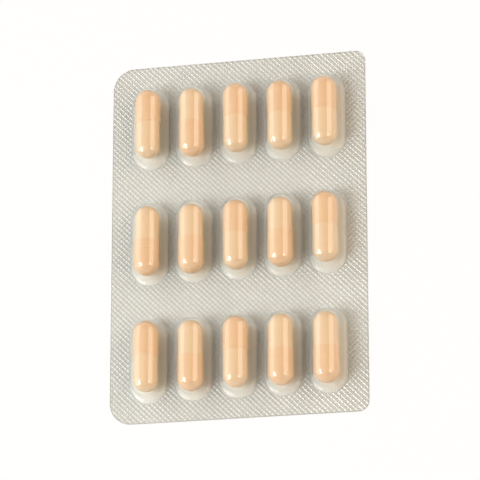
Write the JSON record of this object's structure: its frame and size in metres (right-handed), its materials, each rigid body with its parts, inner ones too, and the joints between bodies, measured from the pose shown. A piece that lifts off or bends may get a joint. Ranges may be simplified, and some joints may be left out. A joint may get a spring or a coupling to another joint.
{
  "type": "capsule blister pack",
  "caption": "Clear formed film with rows of round-ended cavities, each holding a two-piece hard capsule, sealed by a knurl to a flat metal foil.",
  "frame": {"origin": "middle of the card, on the underside of the foil", "axes": "+X across the columns of cavities, +Y along the capsules towards the top row, +Z out of the foil through the film"},
  "size_m": [0.0788, 0.1124, 0.0086],
  "materials": {
    "clear_film": "clear thermoformed film, knurled where it is sealed",
    "foil": "hard-rolled foil, satin, knurled by the sealing roller",
    "capsule_cap": "pearly apricot gelatin shell",
    "capsule_body": "pearly apricot gelatin shell",
    "powder": "loose pale powder, lightly packed"
  },
  "bodies": {
    "root": {"forming_film": "clear_film", "lidding_foil": "foil", "capsule_01_cap": "capsule_cap", "capsule_01_body": "capsule_body", "capsule_01_fill": "powder", "capsule_02_cap": "capsule_cap", "capsule_02_body": "capsule_body", "capsule_02_fill": "powder", "capsule_03_cap": "capsule_cap", "capsule_03_body": "capsule_body", "capsule_03_fill": "powder", "capsule_04_cap": "capsule_cap", "capsule_04_body": "capsule_body", "capsule_04_fill": "powder", "capsule_05_cap": "capsule_cap", "capsule_05_body": "capsule_body", "capsule_05_fill": "powder", "capsule_06_cap": "capsule_cap", "capsule_06_body": "capsule_body", "capsule_06_fill": "powder", "capsule_07_cap": "capsule_cap", "capsule_07_body": "capsule_body", "capsule_07_fill": "powder", "capsule_08_cap": "capsule_cap", "capsule_08_body": "capsule_body", "capsule_08_fill": "powder", "capsule_09_cap": "capsule_cap", "capsule_09_body": "capsule_body", "capsule_09_fill": "powder", "capsule_10_cap": "capsule_cap", "capsule_10_body": "capsule_body", "capsule_10_fill": "powder", "capsule_11_cap": "capsule_cap", "capsule_11_body": "capsule_body", "capsule_11_fill": "powder", "capsule_12_cap": "capsule_cap", "capsule_12_body": "capsule_body", "capsule_12_fill": "powder", "capsule_13_cap": "capsule_cap", "capsule_13_body": "capsule_body", "capsule_13_fill": "powder", "capsule_14_cap": "capsule_cap", "capsule_14_body": "capsule_body", "capsule_14_fill": "powder", "capsule_15_cap": "capsule_cap", "capsule_15_body": "capsule_body", "capsule_15_fill": "powder"}
  },
  "joints": []
}
